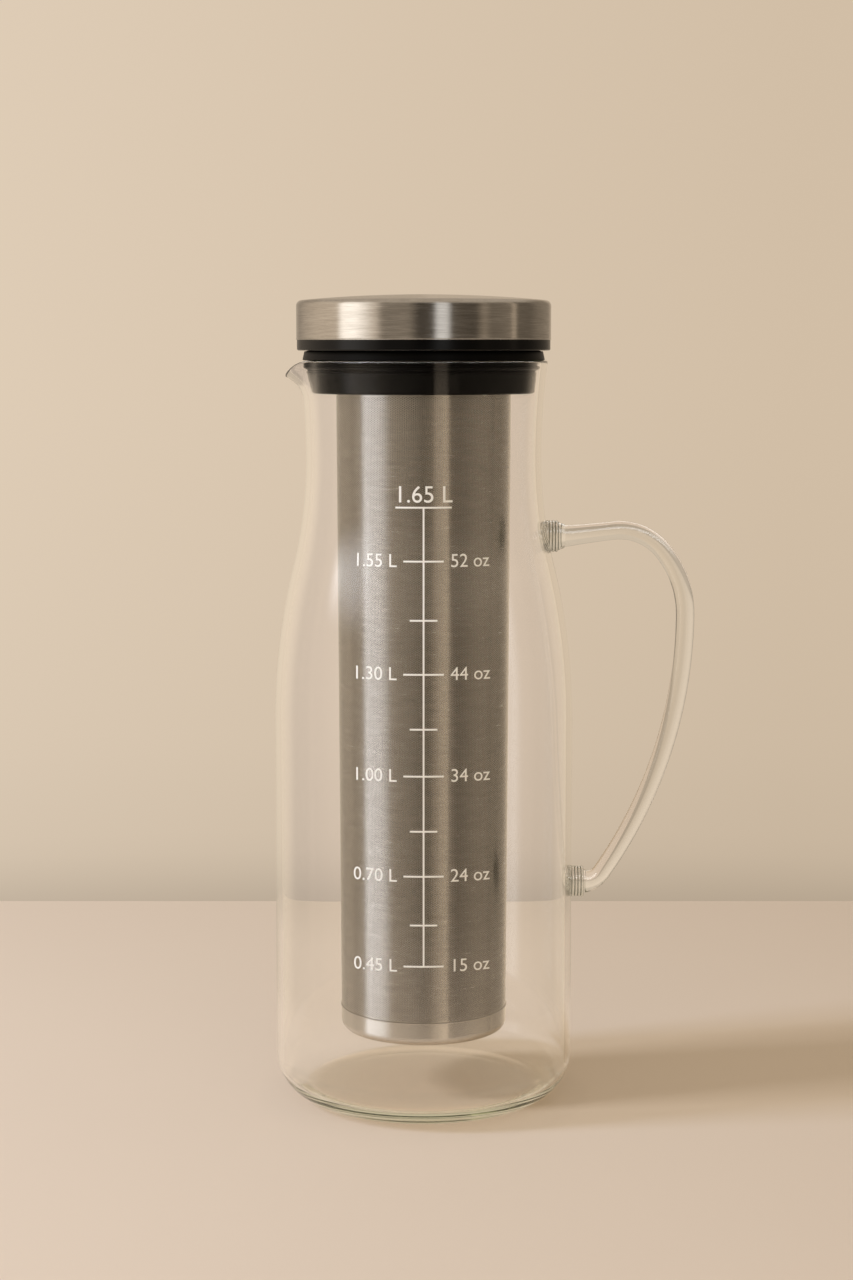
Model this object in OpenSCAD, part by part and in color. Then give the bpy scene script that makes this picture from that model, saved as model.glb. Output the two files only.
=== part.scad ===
// Cold brew pitcher: a blown glass carafe with a pulled spout and an applied rod handle,
// a steel filter tube that hangs in the mouth from a sealed collar, and a steel-capped lid.
// Millimetres, +Z up. The origin is on the carafe's axis, at the underside of its base.
// The spout points to -X and the handle to +X.

/* [Carafe] */
// Height of the rim above the table
carafe_h = 266; // [240:1:330]
// Outside diameter of the straight body
body_d = 107; // [98:1:130]
// Outside diameter at the narrowest point of the neck
neck_d = 83.8; // [78:0.2:92]
// Amount that the mouth is wider than the narrowest point of the neck
mouth_flare = 4.2; // [3:0.1:7]
// Depth of the narrowest point of the neck below the rim
neck_depth = 34; // [28:0.5:40]
// Height of the curved shoulder between the straight body and the neck
shoulder_h = 94.5; // [75:0.5:110]
// Share of the shoulder's curve that bulges out, the rest being hollow
shoulder_share = 0.59; // [0.45:0.01:0.7]
// Thickness of the blown wall
glass_t = 2.2; // [1.6:0.1:2.6]
// Thickness of the floor
floor_t = 4.5; // [3:0.1:6]
// Outside radius of the corner between the base and the body
base_corner_r = 16; // [13:0.5:20]
// Inside radius of the corner between the floor and the body
floor_corner_r = 9.5; // [8:0.5:12.5]
// Amount that the fire-polished bead along the rim is thicker than the wall
rim_bead = 0.6; // [0.4:0.1:1.2]

/* [Spout] */
// Distance that the lip is pulled out past the rim
spout_reach = 5.9; // [4:0.1:8]
// Distance that the lip's tip hangs below the rim
spout_drop = 4.6; // [2:0.1:6]
// Height of the part of the neck that the spout is pulled from
spout_h = 14; // [11:0.5:18]
// Half of the angle that the spout takes up round the neck
spout_half_angle = 28; // [20:1:32]

/* [Handle] */
// Diameter of the glass rod
rod_d = 6.6; // [5:0.2:8]
// Depth of the rod's upper run below the rim
handle_depth = 62.3; // [58:0.1:75]
// Angle that the upper run climbs away from the boss
run_climb = 6.5; // [0:0.5:9]
// Amount that the rod thickens into the upper boss
root_swell = 1.2; // [0:0.1:1.6]
// Height from the lower boss to the upper one
handle_h = 125.5; // [100:0.1:135]
// Distance from the body to the middle of the grip
handle_reach = 40.2; // [36:0.2:52]
// Radius of the bend after the upper run
crook_r = 20; // [15:0.5:25]
// Angle of the bend after the upper run
crook_angle = 50; // [40:1:60]
// Radius of the bend that leads into the grip
knuckle_r = 36; // [28:1:40]
// Radius of the bend back into the body
heel_r = 8; // [6:0.5:10]
// Amount that the rod thickens into the lower boss
heel_swell = 2.2; // [0:0.1:3]
// Outside diameter of the welded boss at each end of the rod
boss_d = 11.4; // [11:0.2:14]
// Thickness of one turn of the boss
boss_turn_t = 1.1; // [0.9:0.1:1.6]
// Length of the upper boss's tapered nose
boss_nose = 2.5; // [1:0.1:4]
// Amount that the nose stands proud of the rod
boss_lip = 0.3; // [0.1:0.1:0.6]

/* [Filter] */
// Amount that the tube is narrower at its foot than under its collar
tube_taper = 2.2; // [2:0.2:10]
// Thickness of the perforated sheet
tube_t = 0.5; // [0.4:0.05:0.8]
// Distance from the glass floor up to the tube's underside
tube_clearance = 20.5; // [8:0.5:60]
// Height of the solid band at the foot
foot_band_h = 8.4; // [7:0.2:14]
// Radius of the foot's rounded edge
foot_edge_r = 3; // [2:0.5:5]
// Length of the foot's collar inside the tube
foot_spigot_h = 4; // [2:0.5:8]

/* [Collar] */
// Depth of the skirt's underside below the rim
skirt_depth = 11.4; // [11:0.2:14]
// Depth of the skirt's shoulder below the rim
skirt_top_depth = 4.2; // [3.6:0.1:4.6]
// Step in from the skirt to the spigot that the neck seal is stretched over
spigot_step = 3.9; // [3.4:0.1:4.5]
// Wall thickness of the spigot
spigot_t = 3; // [2.4:0.1:3.4]
// Width of the ledge that carries the tube
ledge_w = 2.1; // [1.8:0.1:2.6]
// Thickness of the ledge
ledge_t = 2.6; // [2:0.1:3]
// Height of the ring that clamps the tube's flange
retainer_h = 2.8; // [2:0.1:2.8]
// Distance that the seal's flange stands in from the rim's outside
seal_inset = 1.1; // [0.6:0.1:1.6]
// Thickness of the seal's flange
seal_flange_t = 2.9; // [2.2:0.1:4]
// Amount that the seal's flange draws in towards its top
seal_draw = 0.7; // [0:0.1:1.2]
// Thickness of the seal's lip inside the neck
seal_lip_t = 1.4; // [1:0.1:1.6]

/* [Lid] */
// Distance that the cap overhangs the rim
cap_overhang = 1; // [0.4:0.1:3]
// Thickness of the pressed steel
cap_t = 0.6; // [0.5:0.05:0.8]
// Height of the cap from its hem to the top of its crown
cap_h = 15.9; // [15:0.1:22]
// Radius of the cap's rounded edge
cap_edge_r = 2; // [1.4:0.2:4]
// Radius of the cap's shallow crown
cap_crown_r = 460; // [220:5:600]
// Height of the black ring under the cap
ring_h = 3.7; // [3:0.1:5]
// Distance that the ring stands in from the cap's outside
ring_inset = 0.2; // [0:0.05:0.5]
// Depth of the plug below the ring
plug_depth = 8; // [7.6:0.2:8]
// Wall thickness of the moulded insert
insert_t = 2; // [1.6:0.1:2.2]
// Height of the insert's upstand inside the cap
upstand_h = 8.5; // [6:0.5:8.5]
// Diameter of the plug's seal ring section
lid_seal_d = 2.2; // [1.8:0.1:2.4]
// Width of the bevel on the ring's edges and the plug's end
bevel = 0.4; // [0.2:0.05:0.8]

/* [Fits] */
// Gap between a lifting piece and its seat
seat_gap = 0.3; // [0.3:0.05:0.5]
// Gap between the collar's skirt and the neck
skirt_gap = 1.3; // [0.8:0.1:1.8]
// Gap between the plug and the collar's bore
plug_gap = 0.5; // [0.4:0.05:0.8]
// Gap between a seal's lip and the wall that it wipes
lip_gap = 0.3; // [0.3:0.05:0.4]
// Gap between pieces that are pressed together
press_gap = 0.05; // [0.02:0.01:0.1]

/* [Hidden] */
$fn = 96;

glass_colour = [0.86, 0.91, 0.90, 0.35];
steel_colour = [0.62, 0.60, 0.57];
black_colour = [0.06, 0.06, 0.065];
seal_colour = [0.09, 0.09, 0.095];

// Steps of a long, a corner and a small arc in a profile
long_steps = 10;
corner_steps = 12;
small_steps = 8;

// Points of an arc about centre c, in equal turns between two angles
function arc(c, r, from, to, steps) = [
    for (i = [0 : steps])
        let (a = from + (to - from) * i / steps)
        c + r * [cos(a), sin(a)]
];

function reversed(list) = [for (i = [len(list) - 1 : -1 : 0]) list[i]];

// Carafe: profile
body_r = body_d / 2;
neck_r = neck_d / 2;
mouth_r = neck_r + mouth_flare / 2;
bead_r = (glass_t + rim_bead) / 2;
neck_z = carafe_h - neck_depth;
shoulder_z = neck_z - shoulder_h;

// The shoulder is two arcs that share a tangent: a convex one, then a hollow one
shoulder_sweep = 2 * atan((body_r - neck_r) / shoulder_h);
shoulder_sum_r = shoulder_h / sin(shoulder_sweep);
convex_r = shoulder_share * shoulder_sum_r;
hollow_r = shoulder_sum_r - convex_r;

// The mouth flares on one arc, from the narrowest point up to the bead
flare_out = mouth_r - neck_r;
flare_r = (neck_depth * neck_depth + flare_out * flare_out) / (2 * flare_out);
flare_centre = [neck_r + flare_r, neck_z];
flare_angle = asin((neck_depth - bead_r) / (flare_r + glass_t / 2));
bead_dip = acos(glass_t / 2 / bead_r);
flare_end = flare_angle - atan(bead_r * sin(bead_dip) / flare_r);

// Outline of the carafe's side, from the shoulder to the bead, set in by t
function side(t) = concat(
    arc([body_r - convex_r, shoulder_z], convex_r - t, 0, shoulder_sweep, long_steps),
    arc([neck_r + hollow_r, neck_z], hollow_r + t, 180 + shoulder_sweep, 180, long_steps),
    arc(flare_centre, flare_r + t, 180, 180 - flare_end, long_steps)
);

wall_mid_r = flare_r + glass_t / 2;
bead_centre = flare_centre + wall_mid_r * [-cos(flare_angle), sin(flare_angle)];

// The bead along the rim, of radius r about c, from the outside over to the inside
function bead(c, r) =
    arc(c, r, -bead_dip - flare_angle, 180 + bead_dip - flare_angle, small_steps);

function base_corner() =
    arc([body_r - base_corner_r, base_corner_r], base_corner_r, -90, 0, corner_steps);

function floor_corner() = arc(
    [body_r - glass_t - floor_corner_r, floor_t + floor_corner_r],
    floor_corner_r, -90, 0, corner_steps
);

// Outside radius of the shoulder, and inside radius of the flared mouth, at height z
function shoulder_radius(z) = z > neck_z - hollow_r * sin(shoulder_sweep)
    ? neck_r + hollow_r - sqrt(pow(hollow_r, 2) - pow(z - neck_z, 2))
    : body_r - convex_r + sqrt(pow(convex_r, 2) - pow(max(0, z - shoulder_z), 2));

function mouth_bore(z) =
    flare_centre[0] - sqrt(pow(flare_r, 2) - pow(z - neck_z, 2)) - glass_t;

// Everything inside the carafe's outer skin, which the bosses are welded to
module carafe_envelope() {
    rotate_extrude()
        polygon(concat([[0, 0]], base_corner(), side(0), [[0, carafe_h]]));
}

module carafe_wall() {
    rotate_extrude()
        polygon(concat(
            [[0, 0]], base_corner(), side(0), bead(bead_centre, bead_r),
            reversed(side(glass_t)), reversed(floor_corner()), [[0, floor_t]]
        ));
}

// Carafe: the spout is the neck's own wall, bent out and drawn down. Its section is lofted
// round the axis, and its edges are sunk a hair into the plain wall that they join.
spout_sink = 0.05;
spout_root = 2;
spout_margin = 1.5;
spout_sections = 28;
// The lip bends out, and hangs down, ever faster towards its edge
reach_power = 1.9;
drop_power = 1.7;
// Shares of the spout's angle and height at which the plain wall gives way to it
open_angle_share = 0.9;
open_height_share = 0.18;
spout_z = carafe_h - spout_h;
root_angle = asin((spout_z - spout_root - neck_z) / flare_r);

// Each point of the section is the point on the wall's middle that carries it and its offset
function spout_wall(t) = [
    for (way = arc([0, 0], 1, 180 - root_angle, 180 - flare_end, small_steps))
        [flare_centre + wall_mid_r * way, (t - glass_t / 2) * way]
];

function spout_bead() = [for (offset = bead([0, 0], bead_r - spout_sink)) [bead_centre, offset]];

function spout_section() = concat(
    spout_wall(spout_sink), spout_bead(), reversed(spout_wall(glass_t - spout_sink))
);

// How far the wall at angle a is drawn, from 0 at the spout's sides to 1 at its tip
function draw_at(a) = abs(a) < spout_half_angle ? pow(cos(90 * a / spout_half_angle), 2) : 0;

// A carried point after its middle is drawn by d, which hangs down over less of the spout than
// it bends out: the offset turns with the wall, so the wall and the bead keep their thickness
function drawn(middle, offset, d) =
    let (
        u = max(0, (middle[1] - spout_z) / spout_h),
        out = spout_reach * d * pow(u, reach_power),
        down = spout_drop * d * d * pow(u, drop_power),
        out_slope = reach_power * spout_reach * d * pow(u, reach_power - 1) / spout_h,
        down_slope = drop_power * spout_drop * d * d * pow(u, drop_power - 1) / spout_h,
        lean = atan2(out_slope, 1 - down_slope)
    )
    middle + [out, -down] + [
        offset[0] * cos(lean) + offset[1] * sin(lean),
        offset[1] * cos(lean) - offset[0] * sin(lean)
    ];

// Faces of a loft through a row of sections that each have m points
function loft_walls(sections, m) = [
    for (i = [0 : sections - 1], j = [0 : m - 1])
        let (a = i * m + j, b = i * m + (j + 1) % m)
        each [[a, b, a + m], [b, b + m, a + m]]
];

// Faces that close a section of a wall: its outside is paired with its inside, and the
// bead above them is one face
function wall_end(at, m, side_n) = concat(
    [
        for (j = [0 : side_n - 2])
            let (k = m - 1 - j)
            each [[at + j, at + k, at + j + 1], [at + k, at + k - 1, at + j + 1]]
    ],
    [[for (j = [m - side_n : -1 : side_n - 1]) at + j]]
);

module spout_shell() {
    section = spout_section();
    m = len(section);
    side_n = small_steps + 1;
    half = spout_half_angle + spout_margin;
    points = [
        for (i = [0 : spout_sections])
            let (a = half * (2 * i / spout_sections - 1))
            for (p = section)
                let (q = drawn(p[0], p[1], draw_at(a)))
                [-q[0] * cos(a), -q[0] * sin(a), q[1]]
    ];
    last = spout_sections * m;
    polyhedron(points, concat(
        loft_walls(spout_sections, m),
        wall_end(0, m, side_n),
        [for (f = wall_end(last, m, side_n)) reversed(f)]
    ));
}

// The part of the plain wall that the spout's own wall takes the place of
module spout_opening() {
    open_angle = spout_half_angle * open_angle_share;
    rotate([0, 0, 180 - open_angle])
        rotate_extrude(angle = 2 * open_angle)
            translate([neck_r - 2 * glass_t, spout_z + open_height_share * spout_h])
                square([4 * glass_t + flare_out, spout_h]);
}

module carafe() {
    color(glass_colour)
        union() {
            difference() {
                carafe_wall();
                spout_opening();
            }
            spout_shell();
        }
}

// Handle: its centre line lies in the XZ plane and is a climbing run, then four bends that
// share tangents. The grip's radius and angle are the ones that land on the lower boss.
rod_r = rod_d / 2;
upper_boss_turns = 5;
lower_boss_turns = 4;
weld_depth = 2;
handle_top_z = carafe_h - handle_depth;
handle_foot_z = handle_top_z - handle_h;
handle_root_x = shoulder_radius(handle_top_z) - weld_depth
    + upper_boss_turns * boss_turn_t + boss_nose;
handle_foot_x = body_r + lower_boss_turns * boss_turn_t;
grip_x = body_r + handle_reach;
crook_from = 90 + run_climb;
knuckle_from = 90 - crook_angle;
bend_step = (knuckle_r - crook_r) * [cos(knuckle_from), sin(knuckle_from)];
run_end_x = grip_x - knuckle_r + bend_step[0] + crook_r * cos(crook_from);
run_end_z = handle_top_z + (run_end_x - handle_root_x) * tan(run_climb);
crook_c = [run_end_x, run_end_z] - crook_r * [cos(crook_from), sin(crook_from)];
knuckle_c = crook_c - bend_step;
grip_in = grip_x - heel_r - handle_foot_x;
grip_down = knuckle_c[1] - heel_r - handle_foot_z;
grip_angle = 2 * atan(grip_in / grip_down);
grip_r = heel_r + grip_down / sin(grip_angle);
grip_c = [grip_x - grip_r, knuckle_c[1]];
heel_c = [handle_foot_x, handle_foot_z + heel_r];

// Each station of the rod is its centre, the angle of its outer side and its radius
function bend(c, r, from, to, steps) = [
    for (i = [1 : steps])
        let (a = from + (to - from) * i / steps)
        [c + r * [cos(a), sin(a)], a, rod_r]
];

function upper_run(steps) = [
    for (i = [1 : steps])
        let (
            u = i / steps,
            x = handle_root_x + (run_end_x - handle_root_x) * u,
            z = handle_top_z + (run_end_z - handle_top_z) * u
        )
        [[x, z], crook_from, rod_r + root_swell / 2 * pow(1 - u, 2)]
];

function heel(steps) = [
    for (i = [1 : steps])
        let (u = i / steps, a = -grip_angle + (grip_angle - 90) * u)
        [heel_c + heel_r * [cos(a), sin(a)], a, rod_r + heel_swell / 2 * u * u]
];

rod_sides = 24;
rod_stations = concat(
    [[[handle_root_x, handle_top_z], 90, rod_r + root_swell / 2]],
    upper_run(6),
    bend(crook_c, crook_r, crook_from, knuckle_from, 8),
    bend(knuckle_c, knuckle_r, knuckle_from, 0, 7),
    bend(grip_c, grip_r, 0, -grip_angle, 12),
    heel(8)
);

module handle() {
    points = [
        for (s = rod_stations, j = [0 : rod_sides - 1])
            let (t = 360 * j / rod_sides, out = s[2] * cos(t))
            [s[0][0] + out * cos(s[1]), s[2] * sin(t), s[0][1] + out * sin(s[1])]
    ];
    last = len(rod_stations) - 1;
    color(glass_colour)
        polyhedron(points, concat(
            loft_walls(last, rod_sides),
            [[for (j = [rod_sides - 1 : -1 : 0]) j]],
            [[for (j = [0 : rod_sides - 1]) last * rod_sides + j]]
        ));
}

// A gather of glass wound on the body in a few turns, ending in a face for the rod
module boss(x, z, turns, nose, face_r) {
    turn_r = boss_turn_t / 2;
    core_r = boss_d / 2 - turn_r;
    root = nose + turns * boss_turn_t + boss_d / 2;
    color(glass_colour)
        difference() {
            translate([x, 0, z])
                rotate([0, -90, 0])
                    rotate_extrude() {
                        polygon([
                            [0, 0], [face_r, 0], [core_r, nose + turn_r],
                            [core_r, root], [0, root]
                        ]);
                        for (i = [0 : turns - 1])
                            translate([core_r, nose + turn_r + i * boss_turn_t])
                                circle(turn_r);
                    }
            carafe_envelope();
        }
}

module upper_handle_boss() {
    boss(
        handle_root_x, handle_top_z, upper_boss_turns, boss_nose,
        rod_r + root_swell / 2 + boss_lip
    );
}

module lower_handle_boss() {
    boss(handle_foot_x, handle_foot_z, lower_boss_turns, 0, rod_r + heel_swell / 2);
}

// Stack on the rim: heights, from the skirt inside the neck up to the lid
skirt_z = carafe_h - skirt_depth;
skirt_top_z = carafe_h - skirt_top_depth;
tube_seat_z = skirt_z + ledge_t;
retainer_z = tube_seat_z + tube_t;
seal_z = carafe_h + seat_gap;
seal_top_z = seal_z + seal_flange_t;
ring_z = seal_top_z + seat_gap;
cap_z = ring_z + ring_h;
cap_top_z = cap_z + cap_h;
plug_z = ring_z - plug_depth;

// Stack on the rim: radii, each from the wall or the piece outside it
skirt_top_r = mouth_bore(skirt_top_z) - skirt_gap;
skirt_foot_r = mouth_bore(skirt_z) - skirt_gap;
spigot_r = skirt_top_r - spigot_step;
bore_r = spigot_r - spigot_t;
tube_top_r = bore_r - ledge_w;
tube_foot_r = tube_top_r - tube_taper / 2;
plug_r = bore_r - plug_gap;
cap_r = mouth_r + cap_overhang;
ring_r = cap_r - ring_inset;
upstand_r = cap_r - cap_t - press_gap;

// Filter: heights of its foot
tube_foot_z = floor_t + tube_clearance;
foot_joint_z = tube_foot_z + foot_band_h;

module filter_collar() {
    spigot_z = seal_top_z - seat_gap;
    ledge_r = tube_top_r + seat_gap;
    color(black_colour)
        rotate_extrude()
            polygon([
                [ledge_r, skirt_z],
                [skirt_foot_r - bevel, skirt_z],
                [skirt_foot_r, skirt_z + bevel],
                [skirt_top_r, skirt_top_z],
                [spigot_r, skirt_top_z],
                [spigot_r, spigot_z],
                [bore_r, spigot_z],
                [bore_r, tube_seat_z],
                [ledge_r, tube_seat_z]
            ]);
}

module neck_seal() {
    inside_r = spigot_r + press_gap;
    sleeve_r = skirt_top_r - bevel;
    lip_z = skirt_top_z + seal_lip_t / 2;
    lip_top_z = lip_z + seal_lip_t;
    lip_r = mouth_bore(lip_z) - lip_gap;
    flange_r = mouth_r - seal_inset;
    color(seal_colour)
        rotate_extrude()
            polygon([
                [inside_r, skirt_top_z],
                [sleeve_r, skirt_top_z],
                [sleeve_r, lip_z],
                [lip_r, lip_z + seal_lip_t / 2],
                [lip_r, lip_top_z],
                [sleeve_r, lip_top_z + seal_lip_t / 2],
                [sleeve_r, seal_z],
                [flange_r, seal_z],
                [flange_r - seal_draw, seal_top_z],
                [inside_r, seal_top_z]
            ]);
}

module tube_retainer() {
    inside_r = tube_top_r - tube_t;
    outside_r = bore_r - press_gap;
    top_z = retainer_z + retainer_h;
    color(black_colour)
        rotate_extrude()
            polygon([
                [inside_r, retainer_z],
                [outside_r, retainer_z],
                [outside_r, top_z],
                [inside_r + 2 * bevel, top_z],
                [inside_r, top_z - 2 * bevel]
            ]);
}

module filter_tube() {
    flange_r = bore_r - seat_gap;
    color(steel_colour)
        rotate_extrude()
            polygon([
                [tube_foot_r - tube_t, foot_joint_z],
                [tube_foot_r, foot_joint_z],
                [tube_top_r, tube_seat_z],
                [flange_r, tube_seat_z],
                [flange_r, retainer_z],
                [tube_top_r - tube_t, retainer_z]
            ]);
}

module filter_base() {
    foot_t = 2 * tube_t;
    spigot_out_r = tube_foot_r - tube_t - press_gap;
    spigot_in_r = spigot_out_r - tube_t;
    spigot_top_z = foot_joint_z + foot_spigot_h;
    edge_c = [tube_foot_r - foot_edge_r, tube_foot_z + foot_edge_r];
    color(steel_colour)
        rotate_extrude()
            polygon(concat(
                [[0, tube_foot_z]],
                arc(edge_c, foot_edge_r, -90, 0, small_steps),
                [
                    [tube_foot_r, foot_joint_z],
                    [spigot_out_r, foot_joint_z],
                    [spigot_out_r, spigot_top_z],
                    [spigot_in_r, spigot_top_z],
                    [spigot_in_r, foot_joint_z - foot_t]
                ],
                arc(edge_c, foot_edge_r - foot_t, 0, -90, small_steps),
                [[0, tube_foot_z + foot_t]]
            ));
}

// Lid: the seal ring sits half way up the plug, and stands out of its groove to the bore
seal_ring_z = plug_z + plug_depth / 2;
seal_ring_r = lid_seal_d / 2;
seal_ring_c = bore_r - lip_gap - seal_ring_r;

module lid_insert() {
    groove_r = seal_ring_c - seal_ring_r - press_gap;
    groove_foot_z = seal_ring_z - seal_ring_r - press_gap;
    groove_top_z = seal_ring_z + seal_ring_r + press_gap;
    floor_z = ring_z + insert_t;
    well_r = groove_r - insert_t;
    color(black_colour)
        rotate_extrude()
            polygon([
                [0, plug_z],
                [plug_r - 2 * bevel, plug_z],
                [plug_r, plug_z + 2 * bevel],
                [plug_r, groove_foot_z],
                [groove_r, groove_foot_z],
                [groove_r, groove_top_z],
                [plug_r, groove_top_z],
                [plug_r, ring_z],
                [ring_r - bevel, ring_z],
                [ring_r, ring_z + bevel],
                [ring_r, cap_z],
                [upstand_r, cap_z],
                [upstand_r, cap_z + upstand_h],
                [upstand_r - insert_t, cap_z + upstand_h],
                [upstand_r - insert_t, floor_z],
                [well_r, floor_z],
                [well_r, plug_z + insert_t],
                [0, plug_z + insert_t]
            ]);
}

// Half of the cap's outline, set in by t: a straight side, a rounded edge and a crown
function cap_outline(t) =
    let (
        crown_z = cap_top_z - cap_crown_r,
        edge_x = cap_r - cap_edge_r,
        reach = cap_crown_r - cap_edge_r,
        edge_z = crown_z + sqrt(reach * reach - edge_x * edge_x),
        turn = acos(edge_x / reach)
    )
    concat(
        [[cap_r - t, cap_z]],
        arc([edge_x, edge_z], cap_edge_r - t, 0, turn, small_steps),
        arc([0, crown_z], cap_crown_r - t, turn, 90, small_steps)
    );

module lid_cap() {
    color(steel_colour)
        rotate_extrude()
            polygon(concat(cap_outline(0), reversed(cap_outline(cap_t))));
}

module lid_seal() {
    color(seal_colour)
        rotate_extrude()
            translate([seal_ring_c, seal_ring_z])
                circle(seal_ring_r);
}

carafe();
handle();
upper_handle_boss();
lower_handle_boss();
filter_collar();
neck_seal();
tube_retainer();
filter_tube();
filter_base();
lid_insert();
lid_cap();
lid_seal();
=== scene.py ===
import math

import bmesh
import bpy
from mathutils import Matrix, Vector


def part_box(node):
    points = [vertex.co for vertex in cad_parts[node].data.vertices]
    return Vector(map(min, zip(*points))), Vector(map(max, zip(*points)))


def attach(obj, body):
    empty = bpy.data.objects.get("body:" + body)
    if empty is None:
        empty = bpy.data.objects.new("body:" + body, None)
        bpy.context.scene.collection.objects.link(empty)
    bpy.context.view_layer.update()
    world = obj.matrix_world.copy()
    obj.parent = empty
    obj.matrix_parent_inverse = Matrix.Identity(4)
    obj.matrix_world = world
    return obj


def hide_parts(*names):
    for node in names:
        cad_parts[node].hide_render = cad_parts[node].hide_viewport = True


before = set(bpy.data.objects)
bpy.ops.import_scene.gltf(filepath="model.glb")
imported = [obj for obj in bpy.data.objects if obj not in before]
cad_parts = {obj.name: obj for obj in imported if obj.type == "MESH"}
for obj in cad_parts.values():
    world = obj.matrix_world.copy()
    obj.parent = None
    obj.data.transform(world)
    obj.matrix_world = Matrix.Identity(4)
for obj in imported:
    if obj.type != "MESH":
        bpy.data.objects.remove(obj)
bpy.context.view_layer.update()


# Carafe. One piece of clear borosilicate glass, blown in a mould: a straight body, a long shoulder,
# a flared mouth with a fire-polished rim, and a spout pulled out of the hot neck. Lengths in metres.
carafe_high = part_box("carafe")[1]
rim_z = carafe_high.z
body_r = carafe_high.y
neck_r = 0.0419
mouth_r = 0.044
mouth_h = 0.034
shoulder_h = 0.0945
shoulder_share = 0.59
glass_t = 0.0022
floor_t = 0.0045
base_corner_r = 0.016
floor_corner_r = 0.0095
rim_edge_r = 0.0007
spout_reach = 0.0059
spout_drop = 0.0046
spout_h = 0.014
spout_half_angle = 28
reach_power = 1.9
drop_power = 1.7
carafe_sides = 360
straight_steps = 12
corner_steps = 24
shoulder_steps = 32
hollow_steps = 24
flare_steps = 44
edge_steps = 8
on_axis = 1e-7
glass_tint = (1, 1, 0.995, 1)
glass_ior = 1.473
depth_tint = (0.87, 0.93, 0.74, 1)
depth_density = 7.5
shadow_tint = (0.88, 0.86, 0.83, 1)
ripple_scale = (60, 60, 14)
ripple_h = 0.00001

quarter_turn = math.pi / 2
half_turn = math.pi
full_turn = 2 * math.pi
neck_z = rim_z - mouth_h
shoulder_z = neck_z - shoulder_h
shoulder_sweep = 2 * math.atan((body_r - neck_r) / shoulder_h)
convex_r = shoulder_share * shoulder_h / math.sin(shoulder_sweep)
hollow_r = (1 - shoulder_share) * shoulder_h / math.sin(shoulder_sweep)
flare_out = mouth_r - neck_r
flare_r = ((rim_z - neck_z) ** 2 + flare_out ** 2) / (2 * flare_out)
flare_c = (neck_r + flare_r, neck_z)
wall_mid_r = flare_r + glass_t / 2
edge_z = rim_z - rim_edge_r
spout_z = rim_z - spout_h


def arc(centre, radius, start, end, steps):
    """Points of an arc about a centre, in equal turns between two angles in radians."""
    angles = [start + (end - start) * i / steps for i in range(steps + 1)]
    return [(centre[0] + radius * math.cos(a), centre[1] + radius * math.sin(a)) for a in angles]


def flare_end(inset):
    """The angle up the flare, at a depth in its wall, at which the rim's polished edge begins."""
    return math.asin((edge_z - neck_z) / (flare_r + inset))


def polished_edge(inset, start, end):
    """The rim's outer or inner edge, rounded about a line at a depth in the wall."""
    middle_r = flare_c[0] - (flare_r + inset) * math.cos(flare_end(inset))
    return arc((middle_r, edge_z), rim_edge_r, start, end, edge_steps)


def carafe_side(inset, edge_inset):
    """Outline of the shoulder, neck and mouth, set in from the outside."""
    convex_c = (body_r - convex_r, shoulder_z)
    hollow_c = (neck_r + hollow_r, neck_z)
    convex = arc(convex_c, convex_r - inset, 0, shoulder_sweep, shoulder_steps)
    hollow = arc(hollow_c, hollow_r + inset, half_turn + shoulder_sweep, half_turn, hollow_steps)
    flare = arc(flare_c, flare_r + inset, half_turn, half_turn - flare_end(edge_inset), flare_steps)
    return convex + hollow[1:] + flare[1:]


def carafe_outline():
    """The whole section, from the middle of the base round over the rim to the middle of the floor."""
    side_h = shoulder_z - base_corner_r
    straight = [(body_r, base_corner_r + side_h * i / straight_steps) for i in range(1, straight_steps)]
    inside = [(r - glass_t, z) for r, z in reversed(straight)]
    outer, inner = rim_edge_r, glass_t - rim_edge_r
    rim = polished_edge(outer, -flare_end(outer), quarter_turn)[1:]
    rim += polished_edge(inner, quarter_turn, half_turn - flare_end(inner))[:-1]
    base_c = (body_r - base_corner_r, base_corner_r)
    base = arc(base_c, base_corner_r, -quarter_turn, 0, corner_steps)
    floor_c = (body_r - glass_t - floor_corner_r, floor_t + floor_corner_r)
    floor_edge = arc(floor_c, floor_corner_r, 0, -quarter_turn, corner_steps)
    under = [(0, 0), (base[0][0] / 2, 0)]
    well = [(floor_edge[-1][0] / 2, floor_t), (0, floor_t)]
    outside = under + base + straight + carafe_side(0, outer)
    return outside + rim + carafe_side(glass_t, inner)[::-1] + inside + floor_edge + well


def pull_spout(radius, height, angle):
    """A point of the neck once the spout is pulled. The wall's middle is bent out and drawn down, ever
    faster to its edge, and what lies off the middle turns with it."""
    turn = math.degrees(abs(abs(angle) - half_turn))
    if turn >= spout_half_angle or height < spout_z - glass_t:
        return radius, height
    pull = math.cos(math.radians(90 * turn / spout_half_angle)) ** 2
    share = wall_mid_r / math.dist((radius, height), flare_c)
    middle = tuple(c + share * (p - c) for p, c in zip((radius, height), flare_c))
    rise = max(0, (middle[1] - spout_z) / spout_h)
    reach = spout_reach * pull
    drop = spout_drop * pull * pull
    out_slope = reach_power * reach * rise ** (reach_power - 1) / spout_h
    down_slope = drop_power * drop * rise ** (drop_power - 1) / spout_h
    lean = math.atan2(out_slope, 1 - down_slope)
    off_r, off_z = radius - middle[0], height - middle[1]
    return (
        middle[0] + reach * rise ** reach_power + off_r * math.cos(lean) + off_z * math.sin(lean),
        middle[1] - drop * rise ** drop_power + off_z * math.cos(lean) - off_r * math.sin(lean),
    )


def new_piece(name, points, faces):
    """A smooth-shaded mesh object in the scene."""
    mesh = bpy.data.meshes.new(name)
    mesh.from_pydata(points, [], faces)
    mesh.shade_smooth()
    piece = bpy.data.objects.new(name, mesh)
    bpy.context.scene.collection.objects.link(piece)
    return piece


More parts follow.
